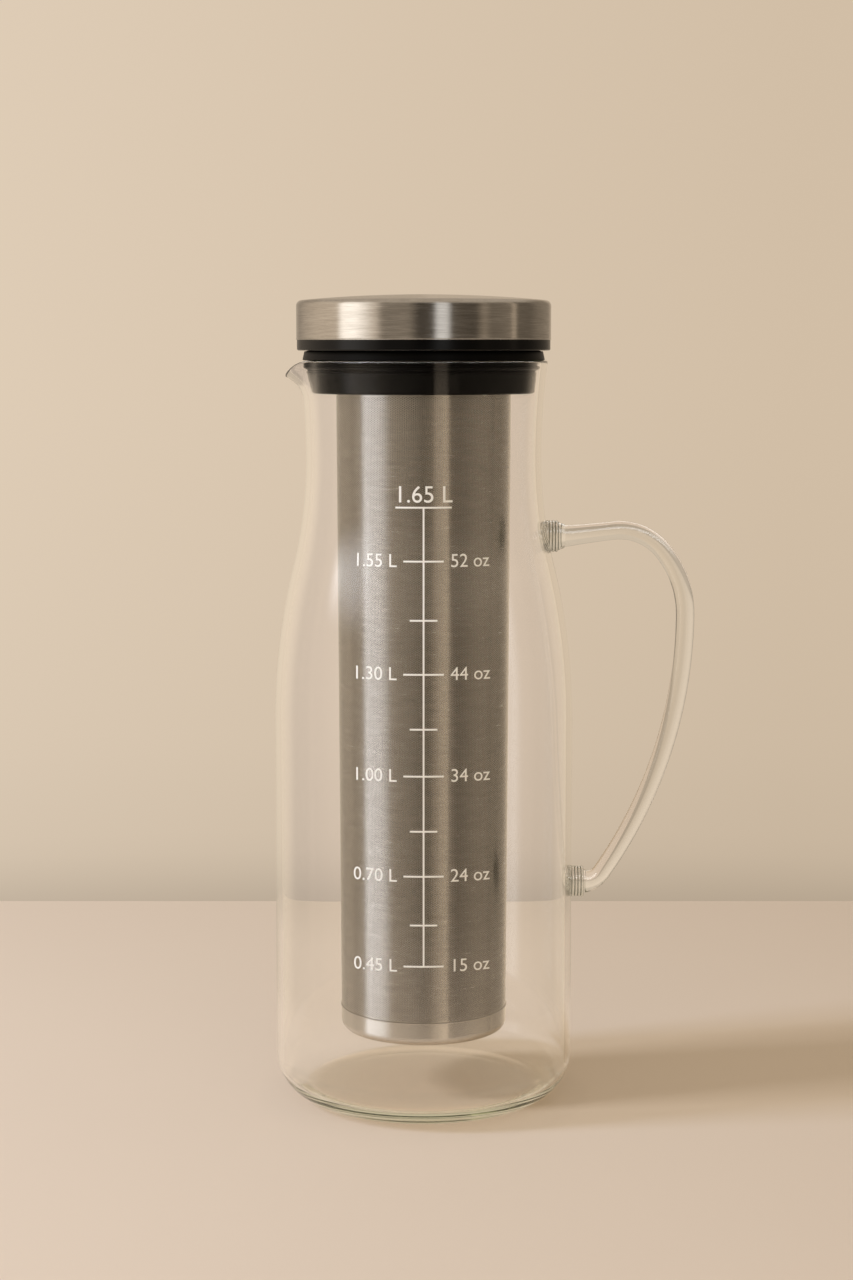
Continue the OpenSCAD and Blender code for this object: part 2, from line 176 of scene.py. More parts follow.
def lathe(name, outline, sides, shape=None):
    """A mesh object turned from an outline of (radius, height) points, closed where it leaves the axis."""
    points, rings, faces = [], [], []
    for radius, height in outline:
        if radius < on_axis:
            rings.append([len(points)] * sides)
            points.append((0, 0, height))
            continue
        rings.append(list(range(len(points), len(points) + sides)))
        for i in range(sides):
            angle = full_turn * i / sides - half_turn
            r, z = shape(radius, height, angle) if shape else (radius, height)
            points.append((r * math.cos(angle), r * math.sin(angle), z))
    if outline[0][0] > on_axis:
        rings.append(rings[0])
    for lower, upper in zip(rings, rings[1:]):
        for i in range(sides):
            j = (i + 1) % sides
            corners = [lower[i], lower[j], upper[j], upper[i]]
            faces.append(list(dict.fromkeys(corners)))
    return new_piece(name, points, faces)


class Wire:
    """A socket in a node tree. Python's operators on it add Math nodes, and node() adds any other."""

    def __init__(self, tree, socket=None):
        self.tree = tree
        self.socket = socket

    def node(self, kind, settings=None, values=None, output=0):
        """A new node of a kind, with its settings first and then its values or links, as a wire."""
        made = self.tree.nodes.new(kind)
        for name, setting in (settings or {}).items():
            if name == "stops":
                ramp = made.color_ramp
                while len(ramp.elements) < len(setting):
                    ramp.elements.new(1)
                for element, (position, colour) in zip(ramp.elements, setting):
                    element.position = position
                    element.color = (*colour, 1)
            else:
                setattr(made, name, setting)
        for name, value in (values or {}).items():
            if isinstance(value, Wire):
                self.tree.links.new(value.socket, made.inputs[name])
            else:
                made.inputs[name].default_value = value
        return Wire(self.tree, made.outputs[output]) if made.outputs else made

    def out(self, name):
        """Another output of this wire's node."""
        return Wire(self.tree, self.socket.node.outputs[name])

    def math(self, operation, *values):
        return self.node("ShaderNodeMath", {"operation": operation}, dict(enumerate(values)))

    def __add__(self, other):
        return self.math("ADD", self, other)

    def __sub__(self, other):
        return self.math("SUBTRACT", self, other)

    def __mul__(self, other):
        return self.math("MULTIPLY", self, other)

    def __truediv__(self, other):
        return self.math("DIVIDE", self, other)

    def __lt__(self, other):
        return self.math("LESS_THAN", self, other)

    def __gt__(self, other):
        return self.math("GREATER_THAN", self, other)

    def __radd__(self, other):
        return self.math("ADD", other, self)

    def __rsub__(self, other):
        return self.math("SUBTRACT", other, self)

    def __rmul__(self, other):
        return self.math("MULTIPLY", other, self)

    def __rtruediv__(self, other):
        return self.math("DIVIDE", other, self)

    def rise(self, low, high):
        """A smooth climb from 0 to 1 as this wire's value goes from low to high."""
        return self.node("ShaderNodeMapRange", {"interpolation_type": "SMOOTHSTEP"}, {
            "Value": self, "From Min": low, "From Max": high,
        })

    def blend(self, first, second):
        """A colour between two others, by this wire's value."""
        return self.node(
            "ShaderNodeMix", {"data_type": "RGBA"}, {"Factor": self, 6: first, 7: second}, 2
        )


def new_finish(name):
    """An empty material, and a wire to build its nodes from."""
    material = bpy.data.materials.new(name)
    material.use_nodes = True
    material.node_tree.nodes.clear()
    return material, Wire(material.node_tree)


def clear_glass(name, shade=None):
    """Clear glass with the faint ripple of blown work and a trace of green in its depth. Its surface has
    one tint, or what shade makes of a wire and the place on the piece."""
    material, wire = new_finish(name)
    place = wire.node("ShaderNodeTexCoord", output="Object")
    drawn = wire.node("ShaderNodeMapping", {}, {"Vector": place, "Scale": ripple_scale})
    ripple = wire.node("ShaderNodeTexNoise", {}, {"Vector": drawn, "Scale": 1, "Detail": 1})
    normal = wire.node("ShaderNodeBump", {}, {"Height": ripple, "Strength": 1, "Distance": ripple_h})
    glass = wire.node("ShaderNodeBsdfPrincipled", {}, {
        "Base Color": shade(wire, place) if shade else glass_tint,
        "Roughness": 0,
        "IOR": glass_ior,
        "Transmission Weight": 1,
        "Normal": normal,
    })
    shadow = wire.node("ShaderNodeLightPath", output="Is Shadow Ray")
    open_way = wire.node("ShaderNodeBsdfTransparent", {}, {"Color": shadow_tint})
    surface = wire.node("ShaderNodeMixShader", {}, {0: shadow, 1: glass, 2: open_way})
    depth = wire.node("ShaderNodeVolumeAbsorption", {}, {"Color": depth_tint, "Density": depth_density})
    wire.node("ShaderNodeOutputMaterial", {}, {"Surface": surface, "Volume": depth})
    return material


glass = clear_glass("clear_borosilicate")
carafe = lathe("blown_carafe", carafe_outline(), carafe_sides, pull_spout)
carafe.data.materials.append(glass)
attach(carafe, "carafe")
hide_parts("carafe")


# Printed scale. Cream enamel, screened on the outside of the glass and fired: a line up the front with
# a tick for each volume, litres on the left and ounces on the right.
ink_t = 0.00004
ink_gap = 0.00002
ink_line = 0.0006
ink_step_across = 0.0015
ink_step_up = 0.003
scale_foot_z = 0.06
scale_top_z = 0.2166
full_line_w = 0.0193
long_tick_w = 0.0138
short_tick_w = 0.0094
letter_h = 0.0046
full_letter_h = 0.0058
full_label_rise = 0.72
capital_share = 0.72
label_gap = 0.0022
full_label = "1.65 L"
volumes = [
    (0.06, "0.45 L", "15 oz"), (0.0914, "0.70 L", "24 oz"), (0.126, "1.00 L", "34 oz"),
    (0.1607, "1.30 L", "44 oz"), (0.1985, "1.55 L", "52 oz"),
]
half_ticks = [0.0744, 0.107, 0.1421, 0.1788]
enamel_thin = (0.88, 0.86, 0.81, 1)
enamel_full = (0.97, 0.955, 0.92, 1)
enamel_rough = 0.45
mottle_rough = 0.25
mottle_scale = 1400


def glass_radius(z):
    """Outside radius of the carafe above its base corner."""
    if z > neck_z:
        return flare_c[0] - math.sqrt(flare_r ** 2 - (z - neck_z) ** 2)
    if z > neck_z - hollow_r * math.sin(shoulder_sweep):
        return neck_r + hollow_r - math.sqrt(hollow_r ** 2 - (z - neck_z) ** 2)
    return body_r - convex_r + math.sqrt(convex_r ** 2 - max(0, z - shoulder_z) ** 2)


def on_glass(along, z, lift):
    """The point at an arc length from the front line and a height, lifted off the glass."""
    radius = glass_radius(z)
    angle = along / radius
    reach = radius + ink_gap + lift
    return reach * math.sin(angle), -reach * math.cos(angle), z


def ink_bar(left, right, low, high):
    """Points and faces of a thin bar of ink that follows the glass."""
    across = max(1, round((right - left) / ink_step_across))
    up = max(1, round((high - low) / ink_step_up))
    points, faces = [], []
    row = across + 1
    layer = row * (up + 1)
    for lift in (0, ink_t):
        for j in range(up + 1):
            for i in range(row):
                along = left + (right - left) * i / across
                points.append(on_glass(along, low + (high - low) * j / up, lift))
    for j in range(up):
        for i in range(across):
            a = j * row + i
            faces.append((a, a + row, a + row + 1, a + 1))
            faces.append(tuple(layer + k for k in (a, a + 1, a + row + 1, a + row)))
    edge = list(range(row))
    edge += [j * row + across for j in range(1, up + 1)]
    edge += [up * row + i for i in range(across - 1, -1, -1)]
    edge += [j * row for j in range(up - 1, 0, -1)]
    for a, b in zip(edge, edge[1:] + edge[:1]):
        faces.append((a, b, b + layer, a + layer))
    return points, faces


def ink_word(text, height, anchor, left, middle_z):
    """Points and faces of a printed word, aligned by its anchor and centred on a height."""
    curve = bpy.data.curves.new("word", "FONT")
    curve.body = text
    curve.size = height / capital_share
    curve.extrude = ink_t / 2
    curve.align_x = anchor
    curve.align_y = "CENTER"
    word = bpy.data.objects.new("word", curve)
    mesh = word.to_mesh()
    points = [on_glass(left + v.co.x, middle_z + v.co.y, v.co.z + ink_t / 2) for v in mesh.vertices]
    faces = [tuple(p.vertices) for p in mesh.polygons]
    word.to_mesh_clear()
    bpy.data.objects.remove(word)
    bpy.data.curves.remove(curve)
    return points, faces


def enamel():
    """Matt cream enamel, a little uneven where the screen's mesh left it thin."""
    material, wire = new_finish("cream_enamel")
    place = wire.node("ShaderNodeTexCoord", output="Object")
    mottle = wire.node("ShaderNodeTexNoise", {}, {"Vector": place, "Scale": mottle_scale, "Detail": 2})
    surface = wire.node("ShaderNodeBsdfPrincipled", {}, {
        "Base Color": mottle.blend(enamel_thin, enamel_full),
        "Roughness": enamel_rough + mottle_rough * mottle,
    })
    wire.node("ShaderNodeOutputMaterial", {}, {"Surface": surface})
    return material


def print_scale():
    """The whole scale as one mesh of bars and words."""
    half = ink_line / 2
    full_label_z = scale_top_z + full_letter_h * full_label_rise
    marks = [ink_bar(-half, half, scale_foot_z, scale_top_z)]
    marks.append(ink_bar(-full_line_w / 2, full_line_w / 2, scale_top_z - half, scale_top_z + half))
    marks.append(ink_word(full_label, full_letter_h, "CENTER", 0, full_label_z))
    ticks = [(volume[0], long_tick_w) for volume in volumes] + [(z, short_tick_w) for z in half_ticks]
    for z, width in ticks:
        marks.append(ink_bar(-width / 2, width / 2, z - half, z + half))
    label_reach = long_tick_w / 2 + label_gap
    for z, litres, ounces in volumes:
        marks.append(ink_word(litres, letter_h, "RIGHT", -label_reach, z))
        marks.append(ink_word(ounces, letter_h, "LEFT", label_reach, z))
    points, faces = [], []
    for more_points, more_faces in marks:
        start = len(points)
        points += more_points
        faces += [tuple(start + i for i in face) for face in more_faces]
    return new_piece("printed_scale", points, faces)


scale = print_scale()
scale.data.shade_flat()
scale.data.materials.append(enamel())
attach(scale, "carafe")


# Handle. A solid rod of the same glass, bent over a flame from a short climbing run into one long grip,
# and thickened at both ends where it was pressed against the bosses.
handle_low, handle_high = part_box("handle")
rod_r = 0.0033
crook_r = 0.02
crook_angle = math.radians(50)
knuckle_r = 0.036
heel_r = 0.008
heel_swell = 0.0011
root_swell = 0.0006
run_climb = math.radians(6.5)
handle_top_drop = 0.0623
handle_span = 0.1255
handle_foot_out = 0.0044
rod_sides = 48
run_steps = 12
bend_steps = 20
grip_steps = 36
sharp_angle = math.radians(50)

handle_top_z = rim_z - handle_top_drop
handle_foot_z = handle_top_z - handle_span
handle_foot_x = body_r + handle_foot_out
handle_root_x = handle_low.x
grip_x = handle_high.x - rod_r
crook_from = quarter_turn + run_climb
knuckle_from = quarter_turn - crook_angle
bend_x = (knuckle_r - crook_r) * math.cos(knuckle_from)
bend_z = (knuckle_r - crook_r) * math.sin(knuckle_from)
run_end_x = grip_x - knuckle_r + bend_x + crook_r * math.cos(crook_from)
run_end_z = handle_top_z + (run_end_x - handle_root_x) * math.tan(run_climb)
crook_c = (run_end_x - crook_r * math.cos(crook_from), run_end_z - crook_r * math.sin(crook_from))
knuckle_c = (crook_c[0] - bend_x, crook_c[1] - bend_z)
grip_drop = knuckle_c[1] - heel_r - handle_foot_z
grip_angle = 2 * math.atan((grip_x - heel_r - handle_foot_x) / grip_drop)
grip_r = heel_r + grip_drop / math.sin(grip_angle)
grip_c = (grip_x - grip_r, knuckle_c[1])
heel_c = (handle_foot_x, handle_foot_z + heel_r)


def rod_bend(centre, radius, start, end, steps, swell=0):
    """Stations along a bend: the rod's middle, the angle of its outer side and its radius."""
    stations = []
    for i in range(1, steps + 1):
        u = i / steps
        a = start + (end - start) * u
        middle = (centre[0] + radius * math.cos(a), centre[1] + radius * math.sin(a))
        stations.append((middle, a, rod_r + swell * u * u))
    return stations


def bent_rod():
    """The rod as one tube through all its stations, closed at both ends."""
    stations = [((handle_root_x, handle_top_z), quarter_turn, rod_r + root_swell)]
    for i in range(1, run_steps + 1):
        u = i / run_steps
        x = handle_root_x + (run_end_x - handle_root_x) * u
        z = handle_top_z + (run_end_z - handle_top_z) * u
        stations.append(((x, z), crook_from, rod_r + root_swell * (1 - u) ** 2))
    stations += rod_bend(crook_c, crook_r, crook_from, knuckle_from, bend_steps)
    stations += rod_bend(knuckle_c, knuckle_r, knuckle_from, 0, bend_steps)
    stations += rod_bend(grip_c, grip_r, 0, -grip_angle, grip_steps)
    stations += rod_bend(heel_c, heel_r, -grip_angle, -quarter_turn, bend_steps, heel_swell)
    points, faces = [], []
    for (x, z), lean, radius in stations:
        for j in range(rod_sides):
            t = full_turn * j / rod_sides
            out = radius * math.cos(t)
            points.append((x + out * math.cos(lean), radius * math.sin(t), z + out * math.sin(lean)))
    for i in range(len(stations) - 1):
        for j in range(rod_sides):
            a, b = i * rod_sides + j, i * rod_sides + (j + 1) % rod_sides
            faces.append((a, a + rod_sides, b + rod_sides, b))
    faces.append(tuple(range(rod_sides)))
    last = (len(stations) - 1) * rod_sides
    faces.append(tuple(last + j for j in reversed(range(rod_sides))))
    rod = new_piece("glass_handle", points, faces)
    rod.data.set_sharp_from_angle(angle=sharp_angle)
    return rod


handle = bent_rod()
handle.data.materials.append(glass)
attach(handle, "carafe")
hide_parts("handle")


# Handle bosses. Gathers of hot glass, wound on in a few fine turns, that weld the rod's two ends to the
# shoulder and to the body. Each is turned about the rod's axis and ends on the carafe's skin.
boss_r = 0.0057
boss_turn_t = 0.0011
boss_nose = 0.0025
boss_lip = 0.0003
boss_gap = 0.00002
boss_sides = 72
upper_turns = 5
lower_turns = 4
root_turns = 3
turn_steps = 12
root_rings = 6
weld_reach = 1e-7
groove_half_w = 0.1
groove_edge = 0.16
groove_start = -0.3
# The dark tint in the grooves between turns is painted shade, not a colour of the glass.
groove_painted_shade = (0.16, 0.17, 0.14, 1)


def painted_groove_shade(wire, place, first_x):
    """The tint of wound glass: a dark line of painted shade between each turn and the next, from the first
    turn on.
    """
    along = (first_x - wire.node("ShaderNodeSeparateXYZ", {}, {0: place}, "X")) / boss_turn_t
    off_groove = wire.math("ABSOLUTE", wire.math("FRACT", along + 0.5) - 0.5)
    clear = off_groove.rise(groove_half_w, groove_half_w + groove_edge)
    return wire.math("MAXIMUM", clear, along < groove_start).blend(groove_painted_shade, glass_tint)


def wound_boss(name, end_x, middle_z, turns, nose, face_r):
    """A boss from its face for the rod to the glass that it is welded to."""
    turn_r = boss_turn_t / 2
    core_r = boss_r - turn_r
    root = nose + (turns + root_turns) * boss_turn_t
    outline = [(0, 0), (face_r / 2, 0), (face_r, 0)]
    for i in range(turns):
        centre = (nose + turn_r + i * boss_turn_t, core_r)
        outline += [(r, s) for s, r in arc(centre, turn_r, half_turn, 0, turn_steps)]
    outline += [(core_r * k / root_rings, root) for k in range(root_rings, -1, -1)]
    points, faces = [], []
    for radius, depth in outline:
        for j in range(boss_sides):
            t = full_turn * j / boss_sides
            y, z = radius * math.sin(t), middle_z + radius * math.cos(t)
            skin = math.sqrt(glass_radius(z) ** 2 - y * y) + boss_gap
            points.append((max(skin, end_x - boss_gap - depth), y, z))
    for i in range(len(outline) - 1):
        for j in range(boss_sides):
            a, b = i * boss_sides + j, i * boss_sides + (j + 1) % boss_sides
            faces.append((a, b, b + boss_sides, a + boss_sides))
    boss = new_piece(name, points, faces)
    welded = bmesh.new()
    welded.from_mesh(boss.data)
    bmesh.ops.remove_doubles(welded, verts=welded.verts, dist=weld_reach)
    welded.to_mesh(boss.data)
    welded.free()
    boss.data.set_sharp_from_angle(angle=sharp_angle)

    def shade(wire, place):
        return painted_groove_shade(wire, place, end_x - nose)

    # Each boss's glass carries painted shade in the grooves between its turns.
    boss.data.materials.append(clear_glass("wound_" + name, shade))
    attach(boss, "carafe")
    return boss


upper_face_r = rod_r + root_swell + boss_lip
upper_boss = wound_boss("upper_gather", handle_root_x, handle_top_z, upper_turns, boss_nose, upper_face_r)
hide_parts("upper_handle_boss")
lower_face_r = rod_r + heel_swell
lower_boss = wound_boss("lower_gather", handle_foot_x, handle_foot_z, lower_turns, 0, lower_face_r)
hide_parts("lower_handle_boss")


# Filter tube. Stainless sheet with thousands of fine holes, rolled, seam-welded and brushed round, and
# flanged at the top where the collar holds it.
hole_pitch = 0.00076
hole_share = 0.21
hole_floor = 0.8
hole_brim = 1.25
# The holes are dark dots painted into the steel's colour: painted shade for the dim inside seen through
# them.
hole_painted_shade = (0.2, 0.185, 0.17, 1)
hole_rough = 0.25
plain_foot = 0.0008
plain_top = 0.004
tube_low, tube_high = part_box("filter_tube")
row_h = hole_pitch / 2
column_w = hole_pitch * math.sqrt(3)
holes_round = round(full_turn * tube_low.x / -column_w)
tube_dark = (0.38, 0.36, 0.335, 1)
tube_light = (0.64, 0.615, 0.58, 1)
tube_rough = 0.24
tube_rough_spread = 0.14
tube_contrast = 0.3
fine_marks = (2600, 5)
broad_marks = (500, 2)
fine_share = 0.65
mark_h = 0.4
mark_h_by_holes = 0.25
brush_bump = 0.4
brush_h = 0.00002
brush_stretch = 0.9
brush_way = 0.25


def round_axis(wire):
    """Height, distance from the axis and angle round it, and the direction out from the axis."""
    place = wire.node("ShaderNodeSeparateXYZ", {}, {0: wire.node("ShaderNodeTexCoord", output="Object")})
    x, y, z = place.out("X"), place.out("Y"), place.out("Z")
    radius = wire.math("SQRT", x * x + y * y)
    return z, radius, wire.math("ARCTAN2", y, x), x / radius, y / radius


def brush_marks(wire, z, radius, side_x, side_y, fineness, length):
    """Fine marks that run round the axis: long the one way, and as narrow as fineness says the other."""
    across = (z + radius) * fineness
    vector = wire.node("ShaderNodeCombineXYZ", {}, {0: side_x * length, 1: side_y * length, 2: across})
    return wire.node("ShaderNodeTexNoise", {}, {"Vector": vector, "Scale": 1, "Detail": 4, "Roughness": 0.7})


def steel(name, dark, light, rough, rough_spread, contrast=0.5, holes=False):
    """Stainless steel brushed round its axis, with rows of fine holes where it is a filter, drawn as dots of
    painted shade.
    """
    material, wire = new_finish(name)
    z, radius, angle, side_x, side_y = round_axis(wire)
    fine = brush_marks(wire, z, radius, side_x, side_y, *fine_marks)
    broad = brush_marks(wire, z, radius, side_x, side_y, *broad_marks)
    marks = wire.node("ShaderNodeMapRange", {}, {
        "Value": fine_share * fine + (1 - fine_share) * broad,
        "From Min": 0.5 - contrast,
        "From Max": 0.5 + contrast,
    })
    colour = marks.blend(dark, light)
    height = mark_h * marks
    roughness = rough + rough_spread * (marks - 0.5)
    if holes:
        row = z / row_h
        column = angle * (holes_round / full_turn) + 0.5 * wire.math("FLOOR", row)
        off_x = (wire.math("FRACT", column) - 0.5) * (column_w / hole_pitch)
        off_z = (wire.math("FRACT", row) - 0.5) * (row_h / hole_pitch)
        apart = wire.math("SQRT", off_x * off_x + off_z * off_z)
        ends = (z < tube_low.z + plain_foot) + (tube_high.z - plain_top < z)
        sheet = wire.math("MAXIMUM", apart.rise(hole_share * hole_floor, hole_share * hole_brim), ends)
        # Painted shade where the holes are.
        colour = sheet.blend(hole_painted_shade, colour)
        height = sheet + mark_h_by_holes * marks
        roughness = roughness + hole_rough * (1 - sheet)
    normal = wire.node("ShaderNodeBump", {}, {"Height": height, "Strength": brush_bump, "Distance": brush_h})
    surface = wire.node("ShaderNodeBsdfPrincipled", {}, {
        "Base Color": colour,
        "Metallic": 1,
        "Roughness": roughness,
        "Anisotropic": brush_stretch,
        "Anisotropic Rotation": brush_way,
        "Normal": normal,
    })
    wire.node("ShaderNodeOutputMaterial", {}, {"Surface": surface})
    return material


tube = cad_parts["filter_tube"]
tube.data.materials[0] = steel(
    "perforated_steel", tube_dark, tube_light, tube_rough, tube_rough_spread, tube_contrast, holes=True
)


# Filter foot. A shallow cup pressed from plain stainless sheet, brushed, and welded into the tube's
# lower end by its collar. The weld shows as a fine bright bead round the joint.
weld_r = 0.0003
weld_sides = 180
bead_steps = 12
foot_dark = (0.60, 0.575, 0.54, 1)
foot_light = (0.74, 0.715, 0.68, 1)
foot_rough = 0.25
foot_rough_spread = 0.06
foot_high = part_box("filter_base")[1]
foot_steel = steel("foot_steel", foot_dark, foot_light, foot_rough, foot_rough_spread)
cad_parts["filter_base"].data.materials[0] = foot_steel


def bead(name, centre, radius, sides):
    """A fine round bead that runs round the axis."""
    return lathe(name, arc(centre, radius, 0, full_turn, bead_steps)[:-1], sides)


weld = bead("foot_weld", (foot_high.x, tube_low.z), weld_r, weld_sides)
weld.data.materials.append(foot_steel)
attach(weld, "filter")


# Filter collar and retainer. Black polypropylene mouldings: the collar hangs the tube in the neck, and
# the retainer is a ring pressed in over the tube's flange.
collar_black = (0.001, 0.001, 0.0011)
collar_rough = 0.14
collar_grain = 0.000001
collar_gloss = 0.15
grain_scale = 2400
grain_bump = 0.6
dust_scale = 90
dust_gain = 1.8
dust_rough = 0.08


def moulding(name, colour, rough, grain, gloss):
    """Moulded polymer with the faint grain of its tool and a little dust."""
    material, wire = new_finish(name)
    place = wire.node("ShaderNodeTexCoord", output="Object")
    spark = wire.node("ShaderNodeTexNoise", {}, {"Vector": place, "Scale": grain_scale, "Detail": 3})
    dust = wire.node("ShaderNodeTexNoise", {}, {"Vector": place, "Scale": dust_scale, "Detail": 4})
    pale = tuple(dust_gain * c for c in colour)
    normal = wire.node("ShaderNodeBump", {}, {"Height": spark, "Strength": grain_bump, "Distance": grain})
    surface = wire.node("ShaderNodeBsdfPrincipled", {}, {
        "Base Color": dust.blend((*colour, 1), (*pale, 1)),
        "Roughness": rough + dust_rough * (dust - 0.5),
        "Specular IOR Level": gloss,
        "Normal": normal,
    })
    wire.node("ShaderNodeOutputMaterial", {}, {"Surface": surface})
    return material


gloss_black = moulding("black_polypropylene", collar_black, collar_rough, collar_grain, collar_gloss)
for part in ("filter_collar", "tube_retainer"):
    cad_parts[part].data.materials[0] = gloss_black


# Neck seal. A black silicone sleeve stretched over the collar's spigot, with a lip that wipes the
# neck, and a flange that rests on the rim and has a rib round its top for the lid to press on.
seal_low, seal_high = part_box("neck_seal")
seal_bore_r = 0.03616
seal_sleeve_r = 0.03961
seal_lip_r = 0.04109
seal_lip_t = 0.0014
flange_gap = 0.00003
flange_draw = 0.0007
rib_r = 0.0408
rib_half_w = 0.0009
rib_h = 0.0003
seal_edge_r = 0.0005
seal_edge_steps = 4
seal_sides = 240
corner_limit = 0.45
silicone_black = (0.0014, 0.0014, 0.0015)
silicone_rough = 0.34
silicone_grain = 0.000005
silicone_gloss = 0.1


def soften(outline, radius, steps):
    """A closed outline with its corners rounded off."""
    points = []
    for i, corner in enumerate(outline):
        here = Vector(corner)
        before = Vector(outline[i - 1]) - here
        after = Vector(outline[(i + 1) % len(outline)]) - here
        cut = min(radius, corner_limit * before.length, corner_limit * after.length)
        start = here + cut * before.normalized()
        end = here + cut * after.normalized()
        for k in range(steps + 1):
            u = k / steps
            points.append(tuple((1 - u) ** 2 * start + 2 * u * (1 - u) * here + u * u * end))
    return points


def seal_outline():
    """The seal's section: sleeve, wiping lip, flange and rib."""
    foot, top = seal_low.z, seal_high.z
    half_lip = seal_lip_t / 2
    flange_z = rim_z + flange_gap
    return [
        (seal_bore_r, foot), (seal_sleeve_r, foot), (seal_sleeve_r, foot + half_lip),
        (seal_lip_r, foot + seal_lip_t), (seal_lip_r, foot + seal_lip_t + half_lip),
        (seal_sleeve_r, foot + 2 * seal_lip_t), (seal_sleeve_r, flange_z),
        (seal_high.x, flange_z), (seal_high.x - flange_draw, top),
        (rib_r + rib_half_w, top), (rib_r, top + rib_h), (rib_r - rib_half_w, top), (seal_bore_r, top),
    ]


soft_black = moulding(
    "black_silicone_rubber", silicone_black, silicone_rough, silicone_grain, silicone_gloss
)
seal = lathe("silicone_neck_seal", soften(seal_outline(), seal_edge_r, seal_edge_steps), seal_sides)
seal.data.materials.append(soft_black)
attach(seal, "filter")
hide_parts("neck_seal")


# Lid insert and seal. A black moulding with a plug that fits the collar's bore, a ring that shows
# under the cap, and a silicone ring in a groove round the plug.
insert_black = (0.0012, 0.0012, 0.0013)
insert_rough = 0.22
insert_grain = 0.000002
insert_gloss = 0.25
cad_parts["lid_insert"].data.materials[0] = moulding(
    "black_lid_moulding", insert_black, insert_rough, insert_grain, insert_gloss
)
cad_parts["lid_seal"].data.materials[0] = soft_black


# Lid cap. Stainless sheet, drawn into a shallow dome with a rounded edge, brushed round on a lathe
# and pressed over the insert. Its lower edge is hemmed to a fine bright bead.
hem_r = 0.00025
hem_sides = 240
cap_dark = (0.48, 0.455, 0.42, 1)
cap_light = (0.78, 0.755, 0.72, 1)
cap_rough = 0.22
cap_rough_spread = 0.12
cap_contrast = 0.22
cap_low, cap_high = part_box("lid_cap")
cap_steel = steel("brushed_cap_steel", cap_dark, cap_light, cap_rough, cap_rough_spread, cap_contrast)
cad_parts["lid_cap"].data.materials[0] = cap_steel
hem = bead("cap_hem", (cap_high.x - hem_r / 2, cap_low.z + hem_r), hem_r, hem_sides)
hem.data.materials.append(cap_steel)
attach(hem, "lid")


# Floor. A plain pale top, with its far edge as far behind the pitcher as the photographed one. Glass and
# steel mirror only what lies close round their foot, and painted light makes it a little paler where glass
# is before it.
floor_drop = 0.0002
floor_back = 0.31
floor_front = -1.2
floor_half_w = 1.2
top_dark = (0.69, 0.565, 0.45, 1)
top_light = (0.71, 0.585, 0.465, 1)
top_rough = 0.6
tone_scale = 6
mirror_near = 0.13
mirror_far = 0.2
glass_reach = 2
steel_reach = 0.6
painted_light_through_glass = 1.14
one_face = 1
one_wall = 2
two_walls = 4


def met(path, kind, times):
    """1 for light that has met a kind of surface at least so many times, and else 0."""
    return path.out(kind + " Depth") > times - 0.5


def pale_top():
    """A plain satin top with a barely uneven tone, and painted light that makes it paler seen through glass.
    """
    material, wire = new_finish("pale_top")
    place = wire.node("ShaderNodeTexCoord", output="Object")
    tone = wire.node("ShaderNodeTexNoise", {}, {"Vector": place, "Scale": tone_scale, "Detail": 5})
    shade = tone.blend(top_dark, top_light)
    path = wire.node("ShaderNodeLightPath")
    # Painted light: seen through glass, the top's colour is raised to look paler.
    painted_paler = wire.node("ShaderNodeVectorMath", {"operation": "SCALE"}, {0: shade, "Scale": painted_light_through_glass})
    shade = met(path, "Transmission", one_wall).blend(shade, painted_paler)
    top = wire.node("ShaderNodeBsdfPrincipled", {}, {"Base Color": shade, "Roughness": top_rough})
    off_axis = wire.node("ShaderNodeVectorMath", {"operation": "LENGTH"}, {0: place}, "Value")
    in_glass = met(path, "Transmission", one_face) * (glass_reach - 1)
    off_steel = met(path, "Transmission", two_walls) * (steel_reach - glass_reach)
    far = (off_axis / (1 + in_glass + off_steel)).rise(mirror_near, mirror_far)
    gap = wire.node("ShaderNodeBsdfTransparent")
    gone = met(path, "Glossy", 1) * far
    surface = wire.node("ShaderNodeMixShader", {}, {0: gone, 1: top, 2: gap})
    wire.node("ShaderNodeOutputMaterial", {}, {"Surface": surface})
    return material


corners = [(-floor_half_w, floor_front), (floor_half_w, floor_front)]
corners += [(floor_half_w, floor_back), (-floor_half_w, floor_back)]
floor = new_piece("floor", [(x, y, -floor_drop) for x, y in corners], [(0, 1, 2, 3)])
floor.data.materials.append(pale_top())


# Room. A plain warm wall behind, which a straight look sees, through the glass too. What shows in the
# steel is a dim room with a window on the left and a narrow one in front, and matt things get an even
# light. Levels go by degrees round the pitcher, 0 in front, and edges by how steeply a look climbs.
warm_left = (1.155, 0.953, 0.735)
warm_right = (1.185, 0.953, 0.705)
warm_turn = 3
clear_light = (1, 0.99, 0.97)
even_light = (0.56, 0.485, 0.375)
ceiling = (0.52, 0.44, 0.35)
ceiling_edge = (0.38, 0.64)
under_lid = (0.34, 0.28, 0.21)
under_lid_edge = (0.15, 0.27)
overhead = (0.6, 0.5, 0.385)
overhead_edge = (0.16, 0.3)
sky_light = (0.95, 0.99, 1.08)
wall_levels = [
    (-180, 0.58), (-170, 0.635), (-158, 0.67), (-146, 0.66), (-134, 0.6), (-126, 0.52), (-118, 0.2),
    (-104, 0.1), (-84, 0.1), (-70, 0.32), (-45, 0.2), (-30, 0.08), (0, 0.03), (9, 0.03), (12, 0.5),
    (21, 0.5), (25, 0.04), (60, 0.05), (110, 0.06), (118, 0.14), (126, 0.46), (136, 0.52), (148, 0.54),
    (160, 0.56), (171, 0.54), (180, 0.58),
]
wall_fade = [(-0.226, 0.69), (-0.21, 0.83), (-0.2, 0.9), (-0.16, 0.95), (-0.1, 0.975), (-0.02, 1)]
